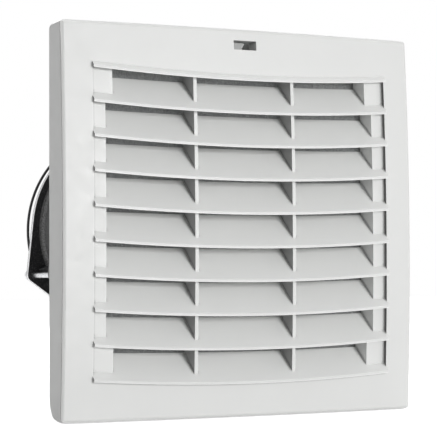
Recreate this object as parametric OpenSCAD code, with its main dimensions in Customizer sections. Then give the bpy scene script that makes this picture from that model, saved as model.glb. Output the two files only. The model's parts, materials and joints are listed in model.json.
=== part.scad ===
// Filter fan for a cabinet wall: a hinged louvred cover over a filter mat,
// a plug-in frame, a tapering hood and a round axial fan with a wire guard.
// X runs to the right, Y into the cabinet and Z up. The cabinet wall's outer
// face is the plane y = 0 and the wall cut-out is centred on the Y axis.

/* [Cover] */
// Width and height of the square cover
cover_size = 250; // [246:1:258]
// Height of the cover's side walls, from the cabinet wall to the front edge
cover_depth = 19; // [18:0.5:24]
// Wall thickness of the cover
cover_wall = 2.5; // [2:0.1:3]
// How far the face swells forward between its middle and the middle of a side
dome_rise = 4.4; // [3:0.1:6]
// Rounding of the front edges
edge_r = 3; // [2:0.1:4]
// Rounding of the four corners, seen from the front
corner_r = 4; // [3:0.5:8]
// Rounding of the lower rear corner of each side wall, which lets the cover swing
swing_r = 15; // [12:0.5:17]

/* [Louvres] */
// Distance from one louvre lip to the next
louvre_pitch = 21.66; // [20.5:0.1:22.5]
// Distance of the top lip's ends from the top of the cover
top_border = 29.8; // [27:0.1:35]
// Least distance of the lowest lip from the bottom of the cover
low_border = 25; // [23:0.5:30]
// Distance of the louvre field from the sides of the cover
side_border = 20; // [17:1:23]
// Width of the recessed panels beside the middle rows
panel_w = 9; // [7:0.5:12]
// Width of the recessed panels beside the first and the last row
end_panel_w = 14; // [13:0.5:17]
// Thickness of a louvre blade
blade_t = 1.3; // [1:0.1:1.8]
// Slope of the louvre blades
blade_slope = 40; // [34:1:45]
// Rise of each louvre from its middle to its ends
blade_arch = 1.5; // [1:0.1:2.5]
// How far the lips stand out of the face
lip_proud = 2.8; // [2:0.1:3.5]
// Depth of the recessed panels beside the rows, below the face
recess = 3; // [2:0.1:4]
// Distance of the two upright bars from the sides of the middle rows
side_row_w = 61; // [56:1:66]
// Thickness of the upright bars
bar_t = 2.2; // [1.6:0.1:3]

/* [Latch] */
// Width of the release slot in the face
slot_w = 16.3; // [14:0.1:20]
// Height of the release slot
slot_h = 6.1; // [5.5:0.1:7]
// Distance of the slot's middle from the top of the cover
slot_edge = 10.6; // [10:0.1:12]
// Travel of the latch slide
latch_travel = 4; // [3:0.5:5]

/* [Frame] */
// How far the cover reaches past the cut-out in the cabinet wall
cover_overlap = 13.5; // [12.5:0.5:14.5]
// Thickness of the frame's flange
flange_t = 2.5; // [2:0.1:3]
// Thickness of the foam seal behind the flange
seal_t = 2; // [1.5:0.1:2.5]
// Wall thickness of the frame's insert
insert_wall = 2.5; // [2:0.1:3]
// Depth of the insert behind the cabinet wall
insert_depth = 32; // [28:1:36]
// Distance of the fixing holes from the sides of the cut-out
hole_gap = 4.5; // [4:0.1:5]
// Distance of the fixing holes from the upper and lower edge of the cut-out
hole_corner = 31.5; // [26.5:0.5:51.5]
// Radius of the fixing holes
hole_r = 2.25; // [2:0.05:2.5]

/* [Filter] */
// Thickness of the filter mat
mat_t = 17; // [15:1:17]
// Width of the pocket for the wall clips, between the insert and the mat's tray
pocket_w = 4; // [4:0.1:5]
// Number of bars each way in the support grid
grid_bars = 7; // [5:1:9]

/* [Hood] */
// How far the rear end of the hood reaches past the fan's flanges
hood_rim = 4; // [3:0.5:7]
// Wall thickness of the hood
hood_wall = 2.2; // [1.8:0.1:2.6]
// Distance from the cabinet wall to the front of the fan
fan_y = 127.5; // [115:0.5:135]

/* [Fan] */
// Radius of the fan's two round flanges
fan_r = 75; // [74:0.5:77]
// Depth of the fan over its flanges
fan_depth = 51; // [50:0.5:55]
// How far the flanges reach out from the inside of the fan's ring
rim_w = 11; // [10.5:0.5:12]
// Distance of the fixing holes from the edge of the flanges
lug_reach = 6; // [5.5:0.5:8]
// Direction of the left lug, from the left towards the bottom
lug_angle = 24; // [10:1:30]
// Number of blades
blade_count = 7; // [5:1:9]
// Running gap between the blade tips and the ring
tip_gap = 1.6; // [1.6:0.1:4]
// Radius of the motor's turning can
can_r = 38; // [37:0.5:40]

/* [Guard] */
// Number of rings in the wire guard
ring_count = 8; // [5:1:9]
// How far the outer ring of the guard lies outside the fan's flanges
guard_over = 0.5; // [0:0.5:2]
// Radius of the guard's wire
wire_r = 1; // [0.8:0.1:1.2]
// Gap between the fan's rear flange and the guard's rings
guard_gap = 6.5; // [6:0.5:9]

/* [Hidden] */
$fn = 64;

// Overrun of every cut past the surface that it opens
over = 1;
// Gap between pieces that lie in or beside each other
fit = 0.3;
// Radial running gap of a turning pin or shaft
run = 0.05;
// Radial gap of a pin or screw that is held fast
hold = 0.02;

// Cover, derived
half = cover_size / 2;
cutout = cover_size - 2 * cover_overlap;
wall_gap = 0.5;
edge_step = 1.8;
groove_set_back = 1.3;
groove_w = 0.5;
groove_depth = 0.9;
edge_lift = 0.06;
dome_r = half * half / (2 * dome_rise) + dome_rise / 2;
face_mid_y = -(cover_depth + edge_step + 2 * dome_rise);
dome_y = face_mid_y + dome_r;
dome_fine = 1440;
dome_reach = cover_depth + 4 * dome_rise + 2 * lip_proud + recess;
dome_span = 2 * asin(1.06 * half / (dome_r - dome_reach));
function surface_y(x, z, out) = dome_y - sqrt(pow(dome_r + out, 2) - x * x - z * z);

// Louvres, derived. The grille ends where the mat begins
field_w = cover_size - 2 * side_border;
window_w = field_w - 2 * panel_w;
end_window_w = field_w - 2 * end_panel_w;
bar_x = window_w / 2 - side_row_w;
top_lip_z = half - top_border;
row_count = floor((top_lip_z + half - low_border) / louvre_pitch);
grille_gap = 2.5;
grille_back_y = -(seal_t + flange_t + grille_gap);
blade_rise = tan(blade_slope);
lip_h = blade_t / cos(blade_slope);
arch_r = pow(field_w / 2, 2) / (2 * blade_arch);
arch_fine = 3600;
arch_span = 2 * asin(1.04 * half / (arch_r - half));
function lip_z(k) = top_lip_z - k * louvre_pitch;
function lip_y(k) = surface_y(field_w / 2, lip_z(k), lip_proud);
// Height of the underside of blade k at depth y, at the middle of the cover
function under_z(k, y) = lip_z(k) - blade_arch + (y - lip_y(k)) * blade_rise;
hood_blade_back_y = face_mid_y + 3.8 * recess;
panel_t = 2.2;

// Hinge, derived
pivot_reach = 4;
pivot_edge = 8.5;
arm_len = 8.5;
pivot_y = -(seal_t + flange_t + pivot_reach);
pivot_z = -(half - pivot_edge);
pin_r = 1.5;
pin_len = 19.6;
knuckle_r = 3.3;
knuckle_w = 10;
ear_r = 3.6;
ear_t = 4;
hinge_in = 40;
hinge_x = half - hinge_in;
lower_wall_back_y = pivot_y - arm_len;

// Latch, derived
latch_t = 3;
latch_set_back = 4.8;
latch_clear = 1.6;
slot_z = half - slot_edge;
latch_front_y = surface_y(0, slot_z, 0) + latch_set_back;
latch_tip_x = 1.7;
latch_len = 31;
latch_h = slot_h - latch_clear;
latch_z = slot_z - fit;
pocket_wall = 1.2;
pocket_depth = 10.4;
guide_x0 = -27;
guide_x1 = -11;
guide_wall = 1;
guide_post_h = 4;
spring_r = 0.85;
spring_wire_r = 0.2;
spring_bore_r = 1.05;
spring_turns = 8;
spring_x0 = -36;
spring_len = 9.5;
stop_t = 2;

// Frame, derived
flange_gap = 1;
flange_w = cover_size - 2 * (cover_wall + flange_gap);
flange_low_edge = 6;
seal_low_gap = 1.3;
flange_low_z = -(half - flange_low_edge);
flange_front_y = -(seal_t + flange_t);
seal_low_z = pivot_z + seal_low_gap;
insert_w = cutout - 2 * flange_gap;
tray_wall = 2;
tray_w = insert_w - 2 * (insert_wall + pocket_w + tray_wall);
hole_span_x = cutout + 2 * hole_gap;
hole_span_z = cutout - 2 * hole_corner;
mat_front_y = grille_back_y + fit;
mat_back_y = mat_front_y + mat_t;
grid_t = 3.8;
grid_front_y = mat_back_y + fit;
grid_back_y = grid_front_y + grid_t;
ledge_t = 2.2;
ledge_w = 4;
ledge_front_y = grid_back_y;
ledge_back_y = ledge_front_y + ledge_t;
mat_w = tray_w - 2 * fit;
grid_rim = 4;
grid_bar_t = 1.6;
notch_h = 3.5;

// Wall clips, derived
clip_w = 24;
clip_in = 51.5;
clip_z = cutout / 2 - clip_in;
clip_t = 2;
clip_front_y = 2.4;
clip_tooth = 2.4;
clip_tooth_len = 6.6;
clip_pivot_set = 3.4;
clip_pivot_y = ledge_front_y - clip_pivot_set;
clip_hub_r = 1.7;
clip_hub_gap = 0.5;
clip_pivot_x = tray_w / 2 + tray_wall + clip_hub_gap + clip_hub_r;
clip_axle_r = 1;
clip_ear_t = 3.2;
clip_window_front_y = 1;
clip_window_pad = 2.4;
clip_window_back_y = clip_pivot_y + clip_window_pad;

// Fan and hood, derived
throat_r = fan_r - rim_w;
lug_d = fan_r + lug_reach;
lug_r = 5;
lug_hole_r = 2.2;
tip_r = throat_r - tip_gap;
guard_r = fan_r + guard_over;
hood_end_w = 2 * (fan_r + hood_rim);
collar_w = insert_w - 2 * insert_wall - 2 * fit;
collar_front_y = ledge_back_y + fit;
hood_plate_t = 3;
hood_plate_y = fan_y - hood_plate_t;
hood_corner_r = 6;
hood_end_r = 20;
mouth_gap = 3;
hood_mouth_r = throat_r + mouth_gap;
collar_screw_y = (collar_front_y + insert_depth) / 2;
collar_screw_in = 26.5;
collar_screw_z = cutout / 2 - collar_screw_in;
collar_screw_r = 1.45;
collar_screw_len = 5;
collar_head_r = 3.2;
collar_head_t = 0.8;

fan_back_y = fan_y + fan_depth;
fan_flange_t = 4;
fan_wall = 2.5;
flare = 3.2;
strut_w = 7;
strut_t = 5;
strut_count = 4;
strut_back_y = fan_back_y - flare;
base_r = 30;
base_t = 3.5;
gusset_t = 5;
gusset_reach = 9.5;
gusset_len = 24;

// Motor, derived
tube_r = 13;
race_r = 11;
bearing_t = 7;
bearing_bore_r = 4;
can_wall = 1.2;
can_set_back = 8.5;
can_front_y = fan_y + can_set_back;
can_gap = 9;
can_len = fan_depth - can_set_back - base_t - can_gap;
core_set_back = 12;
core_in = 2;
core_len = can_len - core_set_back - core_in;
core_y = can_front_y + core_set_back;
core_ring_t = 5.3;
stator_r = can_r - can_wall - core_ring_t;
air_gap = 0.5;
slot_count = 8;
winding_len = 4.5;
shaft_r = bearing_bore_r - run;
shaft_boss_r = 7;
shaft_boss_t = 2.3;
front_bearing_y = can_front_y + can_wall + shaft_boss_t + 2 * fit;
bearing_in = 10;
bearing_span = can_len - bearing_in;
rear_bearing_y = front_bearing_y + bearing_span;
race_w = 1.5;
groove_t = 0.4;
winding_in = 1.5;
winding_out = 2.5;
washer_t = 0.5;
clip_ring_t = 0.8;
clip_ring_r = 7;
shaft_tail = 2;

// Fan blades, derived
fan_blade_t = 1.2;
fan_blade_r = 42;
fan_blade_chord = 37;
fan_blade_stagger = 38;

// Guard, derived
guard_y = fan_back_y + guard_gap;
eye_gap = 1.3;
eye_r = lug_hole_r + eye_gap;
eye_y = fan_back_y + fit / 3 + wire_r;
spoke_y = guard_y - 1.6 * wire_r;
inner_ring_r = 16;
spoke_count = 4;

// Fan fixings, derived
screw_r = 2;
washer_r = lug_d - guard_r - wire_r - fit;
screw_head_r = washer_r - fit;
screw_head_t = 3.8;
lug_washer_y = eye_y + wire_r + fit / 3;
screw_boss_len = 8;

// Terminal block, derived
terminal_w = 22;
terminal_h = 13;
terminal_d = 16;
lead_gap = 5.4741;
terminal_x = (fan_r + lead_gap + terminal_h / 2) * cos(45);
terminal_z = -terminal_x;
terminal_pitch = 6.6;
terminal_screw_r = 1.7;
wire_way_r = 2;
terminal_foot_w = 6;
terminal_foot_t = 3;
lead_r = 1.1;
lead_pitch = 2.5;

// Extrudes an outline drawn in X and Z from y0 to y1
module slab(y0, y1) {
    translate([0, y1, 0])
        rotate([90, 0, 0])
            linear_extrude(y1 - y0)
                children();
}

// Turns a profile of radius and depth round the Y axis
module turned() {
    rotate([-90, 0, 0])
        rotate_extrude($fn = 96)
            children();
}

// A round bar along Y
module bar_y(r, y0, y1) {
    translate([0, y0, 0])
        rotate([-90, 0, 0])
            cylinder(r = r, h = y1 - y0);
}

// A round bar along X, centred
module bar_x_way(r, len) {
    rotate([0, 90, 0])
        cylinder(r = r, h = len, center = true);
}

// A box given by its two corners
module span_box(low, high) {
    translate(low)
        cube(high - low);
}

// A square outline with round corners
module soft_square(w, h, r) {
    square([w - 2 * r, h], center = true);
    square([w, h - 2 * r], center = true);
    for (sx = [-1, 1], sz = [-1, 1])
        translate([sx * (w / 2 - r), sz * (h / 2 - r)])
            circle(r);
}

// Copies children to the left and to the right
module both_sides() {
    children();
    mirror([1, 0, 0])
        children();
}

// Sweeps a profile of radius and height round the upright axis of the dome
module dome_sweep() {
    translate([0, dome_y, 0])
        rotate([0, 0, -90 - dome_span / 2])
            rotate_extrude(angle = dome_span, $fn = dome_fine)
                children();
}

// The space inside the face's sphere, moved outward by out
module under_dome(out) {
    dome_sweep()
        intersection() {
            circle(dome_r + out, $fn = dome_fine);
            translate([dome_r - dome_reach, -1.04 * half])
                square([2 * dome_reach, 2.08 * half]);
        }
}

// Profile of a face whose upper and lower edges are rounded
module edge_profile() {
    inner = dome_r - dome_reach;
    edge_rho = sqrt(pow(dome_r, 2) - pow(half - edge_r, 2)) - edge_r + edge_lift;
    translate([inner, -half])
        square([edge_rho - inner, cover_size]);
    translate([inner, -(half - edge_r)])
        square([2 * dome_reach, cover_size - 2 * edge_r]);
    for (s = [-1, 1])
        translate([edge_rho, s * (half - edge_r)])
            circle(edge_r, $fn = 48);
}

// Side view of the cover's skirt, with its round lower rear corner
module skirt_side() {
    front_y = -2 * dome_reach;
    translate([front_y, -(half - swing_r)])
        square([-wall_gap - front_y, cover_size - swing_r + over]);
    translate([front_y, -half - over])
        square([-wall_gap - swing_r - front_y, cover_size]);
    translate([-wall_gap - swing_r, -(half - swing_r)])
        circle(swing_r);
}

// Fine groove round the side walls, just behind the edge of the face
module shadow_groove() {
    inner_w = cover_size - 2 * groove_depth;
    difference() {
        under_dome(-groove_set_back);
        under_dome(-groove_set_back - groove_w);
        slab(-2 * dome_reach, over)
            soft_square(inner_w, inner_w, corner_r - groove_depth);
    }
}

// The cover's outer form as one block
module cover_block() {
    intersection() {
        slab(-2 * dome_reach, -wall_gap)
            soft_square(cover_size, cover_size, corner_r);
        dome_sweep()
            intersection() {
                circle(dome_r, $fn = dome_fine);
                edge_profile();
            }
        rotate([0, 90, 0])
            dome_sweep()
                edge_profile();
        rotate([90, 0, 90])
            translate([0, 0, -half - over])
                linear_extrude(cover_size + 2 * over)
                    skirt_side();
    }
}

// Sweeps an outline, given as depth and height, along the arch of the louvres
module arch_sweep() {
    translate([0, 0, arch_r])
        rotate([-90, 0, 0])
            rotate([0, 0, 90 - arch_span / 2])
                rotate_extrude(angle = arch_span, $fn = arch_fine)
                    translate([arch_r, 0])
                        rotate(90)
                            children();
}

// Side outline of blade k, with its round rear edge at depth back_y
module blade_side(k, back_y) {
    centre_y = back_y - blade_t / 2;
    front_y = lip_y(k) - 3 * dome_rise;
    polygon([
        [front_y, under_z(k, front_y)],
        [centre_y + blade_t / 2 * sin(blade_slope), under_z(k, centre_y + blade_t / 2 * sin(blade_slope))],
        [centre_y - blade_t / 2 * sin(blade_slope),
            under_z(k, centre_y - blade_t / 2 * sin(blade_slope)) + lip_h],
        [front_y, under_z(k, front_y) + lip_h]
    ]);
    translate([centre_y, under_z(k, centre_y) + lip_h / 2])
        circle(blade_t / 2, $fn = 24);
}

// The space between the middles of blades a and b, across the width w
module between_blades(a, b, w) {
    front_y = -2 * dome_reach;
    intersection() {
        arch_sweep()
            polygon([
                [front_y, under_z(a, front_y) + lip_h / 2],
                [0, under_z(a, 0) + lip_h / 2],
                [0, under_z(b, 0) + lip_h / 2],
                [front_y, under_z(b, front_y) + lip_h / 2]
            ]);
        span_box([-w / 2, front_y, -2 * half], [w / 2, 0, 2 * half]);
    }
}

// All louvre blades, cut to the dome in front and to the ducts behind
module louvre_blades() {
    duct_w = window_w + panel_t;
    blades_w = field_w + fit;
    difference() {
        intersection() {
            arch_sweep() {
                blade_side(0, hood_blade_back_y);
                for (k = [1:row_count])
                    blade_side(k, grille_back_y);
            }
            under_dome(lip_proud);
            span_box([-blades_w / 2, -2 * dome_reach, -half], [blades_w / 2, 0, half]);
        }
        intersection() {
            under_dome(-recess - panel_t / 2);
            for (s = [-1, 1])
                translate([s * (duct_w / 2 + half), 0, 0])
                    cube([2 * half, 4 * dome_reach, 4 * half], center = true);
        }
    }
}

// Upright plates behind the recessed panels: two bars and the walls of the rows
module louvre_uprights() {
    intersection() {
        union() {
            for (s = [-1, 1]) {
                upright(s * bar_x, bar_t, 0, row_count);
                upright(s * (window_w + panel_t) / 2, panel_t, 1, row_count - 1);
                upright(s * (end_window_w + panel_t) / 2, panel_t, 0, 1);
                upright(s * (end_window_w + panel_t) / 2, panel_t, row_count - 1, row_count);
            }
        }
        under_dome(-recess);
        span_box([-half, -2 * dome_reach, -half], [half, grille_back_y - blade_t / 3, half]);
    }
}

// One upright plate at x, between the middles of blades a and b
module upright(x, t, a, b) {
    intersection() {
        between_blades(a, b, cover_size);
        span_box([x - t / 2, -2 * dome_reach, -half], [x + t / 2, 0, half]);
    }
}

// Sleeve behind the release slot, open towards the latch slide
module slot_sleeve() {
    back_y = surface_y(0, slot_z, 0) + pocket_depth;
    span_box([-slot_w / 2, face_mid_y, slot_z - slot_h / 2 - pocket_wall],
        [slot_w / 2 + pocket_wall, back_y, slot_z + slot_h / 2 + pocket_wall]);
}

// Hinge knuckle of the cover with its arm to the lower wall
module cover_knuckle() {
    translate([hinge_x, 0, 0]) {
        translate([0, pivot_y, pivot_z])
            bar_x_way(knuckle_r, knuckle_w);
        translate([-knuckle_w / 2, 0, 0])
            rotate([90, 0, 90])
                linear_extrude(knuckle_w)
                    polygon([
                        [pivot_y, pivot_z + knuckle_r],
                        [pivot_y, pivot_z - knuckle_r],
                        [lower_wall_back_y, -half + cover_wall / 2],
                        [2 * lower_wall_back_y - pivot_y, -half + cover_wall / 2]
                    ]);
    }
}

module front_cover() {
    inner_w = cover_size - 2 * cover_wall;
    color([0.86, 0.87, 0.86])
        difference() {
            union() {
                difference() {
                    cover_block();
                    intersection() {
                        under_dome(-cover_wall);
                        slab(-2 * dome_reach, over)
                            soft_square(inner_w, inner_w, corner_r - cover_wall + edge_step);
                    }
                    // the lower wall stops short of the hinge
                    span_box([-inner_w / 2, lower_wall_back_y, -half - over], [inner_w / 2, over, 0]);
                }
                // thick border that carries the recessed panels
                intersection() {
                    difference() {
                        under_dome(-cover_wall / 2);
                        under_dome(-recess - panel_t);
                    }
                    between_blades(0, row_count, field_w + 2 * panel_t);
                }
                intersection() {
                    slot_sleeve();
                    under_dome(-cover_wall / 2);
                }
                both_sides()
                    cover_knuckle();
            }
            // recess of the louvre field, down to its panels
            difference() {
                between_blades(0, row_count, field_w);
                under_dome(-recess);
            }
            // open rows
            between_blades(0, row_count, end_window_w);
            between_blades(1, row_count - 1, window_w);
            // release slot and the hollow behind it
            span_box([-slot_w / 2, 2 * face_mid_y, slot_z - slot_h / 2],
                [slot_w / 2, 0, slot_z + slot_h / 2]);
            both_sides()
                translate([hinge_x, pivot_y, pivot_z])
                    bar_x_way(pin_r + run, knuckle_w + 2 * over);
            shadow_groove();
        }
    color([0.86, 0.87, 0.86]) {
        louvre_blades();
        louvre_uprights();
    }
}

module latch_slide() {
    tip_back = latch_h * 0.55;
    color([0.8, 0.81, 0.8])
        difference() {
            slab(latch_front_y, latch_front_y + latch_t)
                polygon([
                    [latch_tip_x - latch_len, latch_z - latch_h / 2],
                    [latch_tip_x - tip_back, latch_z - latch_h / 2],
                    [latch_tip_x, latch_z + latch_h / 2 - pocket_wall / 2],
                    [latch_tip_x - pocket_wall / 2, latch_z + latch_h / 2],
                    [latch_tip_x - latch_len, latch_z + latch_h / 2]
                ]);
            // blind bore for the return spring
            translate([latch_tip_x - latch_len - over, latch_front_y + latch_t / 2, latch_z])
                rotate([0, 90, 0])
                    cylinder(r = spring_bore_r,
                        h = spring_x0 + spring_len - latch_tip_x + latch_len + latch_travel + 2 * over);
        }
}

// Points of one ring of the spring's wire, at the share s of its turns
function coil_ring(s) = let (
        turn = 360 * spring_turns * s,
        x = spring_x0 + spring_wire_r + s * (spring_len - 2 * spring_wire_r),
        mid = spring_r - spring_wire_r
    ) [for (side = [0:5]) [
        x + spring_wire_r * cos(60 * side),
        latch_front_y + latch_t / 2 + (mid + spring_wire_r * sin(60 * side)) * cos(turn),
        latch_z + (mid + spring_wire_r * sin(60 * side)) * sin(turn)
    ]];

module latch_spring() {
    steps = 8 * spring_turns;
    points = [for (i = [0:steps]) each coil_ring(i / steps)];
    sides = [for (i = [0:steps - 1], j = [0:5]) let (
            a = 6 * i + j,
            b = 6 * i + (j + 1) % 6
        ) each [[a, a + 6, b + 6], [a, b + 6, b]]];
    first = [for (j = [1:4]) [0, j, j + 1]];
    last = [for (j = [1:4]) [6 * steps, 6 * steps + j + 1, 6 * steps + j]];
    color([0.7, 0.7, 0.72])
        polyhedron(points, concat(sides, first, last));
}

// Two ears that hold one hinge pin
module hinge_ears() {
    for (s = [-1, 1])
        translate([hinge_x + s * (knuckle_w + ear_t + 2 * fit) / 2, 0, 0])
            difference() {
                union() {
                    translate([0, pivot_y, pivot_z])
                        bar_x_way(ear_r, ear_t);
                    span_box([-ear_t / 2, pivot_y, pivot_z - ear_r],
                        [ear_t / 2, flange_front_y + over / 2, pivot_z + ear_r]);
                }
                translate([0, pivot_y, pivot_z])
                    bar_x_way(pin_r + hold, ear_t + 2 * over);
            }
}

// Guide for the latch slide, on a post of the frame, and the stop of its spring
module latch_guide() {
    low_z = latch_z - latch_h / 2 - guide_wall - fit / 2;
    high_z = latch_z + latch_h / 2 + guide_wall + fit / 2;
    front_y = latch_front_y - guide_wall - fit / 2;
    back_y = latch_front_y + latch_t + guide_wall + fit / 2;
    difference() {
        union() {
            span_box([guide_x0, front_y, low_z], [guide_x1, back_y, high_z]);
            span_box([spring_x0 - stop_t, back_y - over, latch_z - guide_post_h / 2],
                [guide_x1, flange_front_y + over / 2, latch_z + guide_post_h / 2]);
            span_box([spring_x0 - stop_t, front_y, low_z], [spring_x0, back_y, high_z]);
        }
        span_box([guide_x0 - over, latch_front_y - fit / 2, low_z + guide_wall],
            [guide_x1 + over, latch_front_y + latch_t + fit / 2, high_z - guide_wall]);
    }
}

// Ears of one wall clip, on the ledge behind the pocket
module clip_ears() {
    inner_x = tray_w / 2 + tray_wall;
    outer_x = insert_w / 2 - insert_wall;
    for (s = [-1, 1])
        translate([0, 0, clip_z + s * (clip_w / 2 + fit + clip_ear_t / 2)])
            difference() {
                span_box([inner_x - over / 2, clip_pivot_y - 1.5 * clip_hub_r, -clip_ear_t / 2],
                    [outer_x + over / 2, ledge_front_y + over / 2, clip_ear_t / 2]);
                translate([clip_pivot_x, clip_pivot_y, 0])
                    cylinder(r = clip_axle_r + run, h = clip_ear_t + 2 * over, center = true);
            }
}

module mounting_frame() {
    inner_w = insert_w - 2 * insert_wall;
    color([0.8, 0.81, 0.8])
        difference() {
            union() {
                // flange, cut short below where the cover swings
                intersection() {
                    slab(flange_front_y, -seal_t)
                        soft_square(flange_w, flange_w, corner_r - edge_step);
                    span_box([-half, flange_front_y - over, flange_low_z], [half, 0, half]);
                }
                slab(flange_front_y, insert_depth)
                    difference() {
                        soft_square(insert_w, insert_w, corner_r);
                        soft_square(inner_w, inner_w, corner_r - insert_wall + fit);
                    }
                slab(flange_front_y, ledge_back_y)
                    difference() {
                        soft_square(tray_w + 2 * tray_wall, tray_w + 2 * tray_wall, corner_r);
                        square(tray_w, center = true);
                    }
                slab(ledge_front_y, ledge_back_y)
                    square(insert_w - insert_wall, center = true);
                both_sides() {
                    hinge_ears();
                    clip_ears();
                    mirror([0, 0, 1])
                        clip_ears();
                }
                latch_guide();
            }
            slab(flange_front_y - over, ledge_front_y)
                square(tray_w, center = true);
            slab(flange_front_y - over, ledge_back_y + over)
                square(tray_w - 2 * ledge_w, center = true);
            // notches in the flange for the hinge arms
            for (s = [-1, 1])
                translate([s * hinge_x, 0, flange_low_z])
                    cube([knuckle_w + 2 * fit, 4 * flange_t + 4 * seal_t, 2 * notch_h], center = true);
            // windows of the wall clips
            for (sx = [-1, 1], sz = [-1, 1])
                translate([sx * (insert_w - insert_wall) / 2, 0, sz * clip_z])
                    span_box([-insert_wall, clip_window_front_y, -clip_w / 2 - fit],
                        [insert_wall, clip_window_back_y, clip_w / 2 + fit]);
            // holes of the hood's screws
            for (sx = [-1, 1], sz = [-1, 1])
                translate([sx * insert_w / 2, collar_screw_y, sz * collar_screw_z])
                    bar_x_way(collar_screw_r + 3 * hold, 4 * insert_wall);
            fixing_holes(flange_front_y - over, over - seal_t);
        }
}

// The four holes for screws through the cabinet wall
module fixing_holes(y0, y1) {
    for (sx = [-1, 1], sz = [-1, 1])
        translate([sx * hole_span_x / 2, 0, sz * hole_span_z / 2])
            bar_y(hole_r, y0, y1);
}

module panel_seal() {
    outer_w = flange_w - 3 * flange_gap;
    color([0.12, 0.12, 0.13])
        difference() {
            intersection() {
                slab(-seal_t, 0)
                    difference() {
                        soft_square(outer_w, outer_w, corner_r - edge_step);
                        soft_square(insert_w + fit, insert_w + fit, corner_r);
                    }
                span_box([-half, -seal_t, seal_low_z], [half, 0, half]);
            }
            fixing_holes(-seal_t - over, over);
        }
}

module filter_mat() {
    color([0.75, 0.76, 0.75])
        slab(mat_front_y, mat_back_y)
            square(mat_w, center = true);
}

module filter_grid() {
    step = (mat_w - grid_rim) / (grid_bars + 1);
    color([0.8, 0.81, 0.8])
        slab(grid_front_y, grid_back_y) {
            difference() {
                square(mat_w, center = true);
                square(mat_w - 2 * grid_rim, center = true);
            }
            for (i = [1:grid_bars]) {
                translate([(i - (grid_bars + 1) / 2) * step, 0])
                    square([grid_bar_t, mat_w - grid_rim], center = true);
                translate([0, (i - (grid_bars + 1) / 2) * step])
                    square([mat_w - grid_rim, grid_bar_t], center = true);
            }
        }
}

module hinge_pin_right() {
    color([0.7, 0.7, 0.72])
        translate([hinge_x, pivot_y, pivot_z])
            bar_x_way(pin_r, pin_len);
}

module hinge_pin_left() {
    mirror([1, 0, 0])
        hinge_pin_right();
}

// One sprung clip in its window, with the tooth that grips behind the wall
module wall_clip() {
    face_x = insert_w / 2 - 0.2 * clip_axle_r;
    color([0.75, 0.76, 0.75])
        translate([0, 0, clip_z]) {
            translate([0, 0, -clip_w / 2])
                linear_extrude(clip_w) {
                    polygon([
                        [face_x - clip_t, clip_front_y],
                        [face_x + clip_tooth, clip_front_y],
                        [face_x + clip_tooth, clip_front_y + clip_t / 2],
                        [face_x, clip_front_y + clip_tooth_len],
                        [face_x, clip_pivot_y + clip_hub_r],
                        [clip_pivot_x, clip_pivot_y + clip_hub_r],
                        [clip_pivot_x, clip_pivot_y - clip_hub_r],
                        [face_x - clip_t, clip_pivot_y - clip_hub_r]
                    ]);
                    translate([clip_pivot_x, clip_pivot_y])
                        circle(clip_hub_r);
                }
            translate([clip_pivot_x, clip_pivot_y, 0])
                cylinder(r = clip_axle_r, h = clip_w + 2 * clip_ear_t, center = true);
        }
}

module wall_clip_right_upper() {
    wall_clip();
}

module wall_clip_right_lower() {
    mirror([0, 0, 1])
        wall_clip();
}

module wall_clip_left_upper() {
    mirror([1, 0, 0])
        wall_clip();
}

module wall_clip_left_lower() {
    mirror([1, 0, 0])
        mirror([0, 0, 1])
            wall_clip();
}

// Square-to-square taper of the hood, drawn in by the wall thickness inset
module hood_taper(inset, front_y, back_y) {
    thin = fit / 3;
    hull() {
        slab(front_y, front_y + thin)
            soft_square(collar_w - 2 * inset, collar_w - 2 * inset, hood_corner_r - inset, $fn = 32);
        slab(back_y - thin, back_y)
            soft_square(hood_end_w - 2 * inset, hood_end_w - 2 * inset, hood_end_r - inset, $fn = 32);
    }
}

// Copies children to the two lugs, with X along the lug's direction
module at_lugs() {
    for (s = [0, 180])
        rotate([0, -180 - lug_angle + s, 0])
            children();
}

module fan_hood() {
    color([0.8, 0.81, 0.8])
        difference() {
            union() {
                slab(collar_front_y, insert_depth + over)
                    soft_square(collar_w, collar_w, hood_corner_r);
                hood_taper(0, insert_depth, fan_y);
                at_lugs()
                    translate([lug_d, 0, 0])
                        bar_y(lug_r, hood_plate_y - screw_boss_len, fan_y);
            }
            slab(collar_front_y - over, insert_depth)
                soft_square(collar_w - 2 * hood_wall, collar_w - 2 * hood_wall, hood_corner_r - hood_wall);
            difference() {
                hood_taper(hood_wall, insert_depth - fit / 3, hood_plate_y);
                at_lugs()
                    translate([lug_d, 0, 0])
                        bar_y(lug_r, hood_plate_y - screw_boss_len, fan_y);
            }
            bar_y(hood_mouth_r, hood_plate_y - over, fan_y + over, $fn = 96);
            at_lugs()
                translate([lug_d, 0, 0])
                    bar_y(screw_r + hold, hood_plate_y - screw_boss_len - over, fan_y + over);
            for (sx = [-1, 1], sz = [-1, 1])
                translate([sx * collar_w / 2, collar_screw_y, sz * collar_screw_z])
                    bar_x_way(collar_screw_r + hold, 4 * hood_wall);
            terminal_place()
                for (s = [-1, 1])
                    translate([s * (terminal_w + terminal_foot_w) / 2, 0, 0])
                        bar_y(terminal_screw_r + hold, hood_plate_y - over, fan_y + over);
        }
}

module hood_screws() {
    color([0.75, 0.75, 0.77])
        for (sx = [-1, 1], sz = [-1, 1])
            translate([sx * insert_w / 2, collar_screw_y, sz * collar_screw_z]) {
                translate([-sx * collar_screw_len / 2, 0, 0])
                    bar_x_way(collar_screw_r, collar_screw_len + collar_head_t / 2);
                translate([sx * collar_head_t / 2, 0, 0])
                    bar_x_way(collar_head_r, collar_head_t);
            }
}

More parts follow.
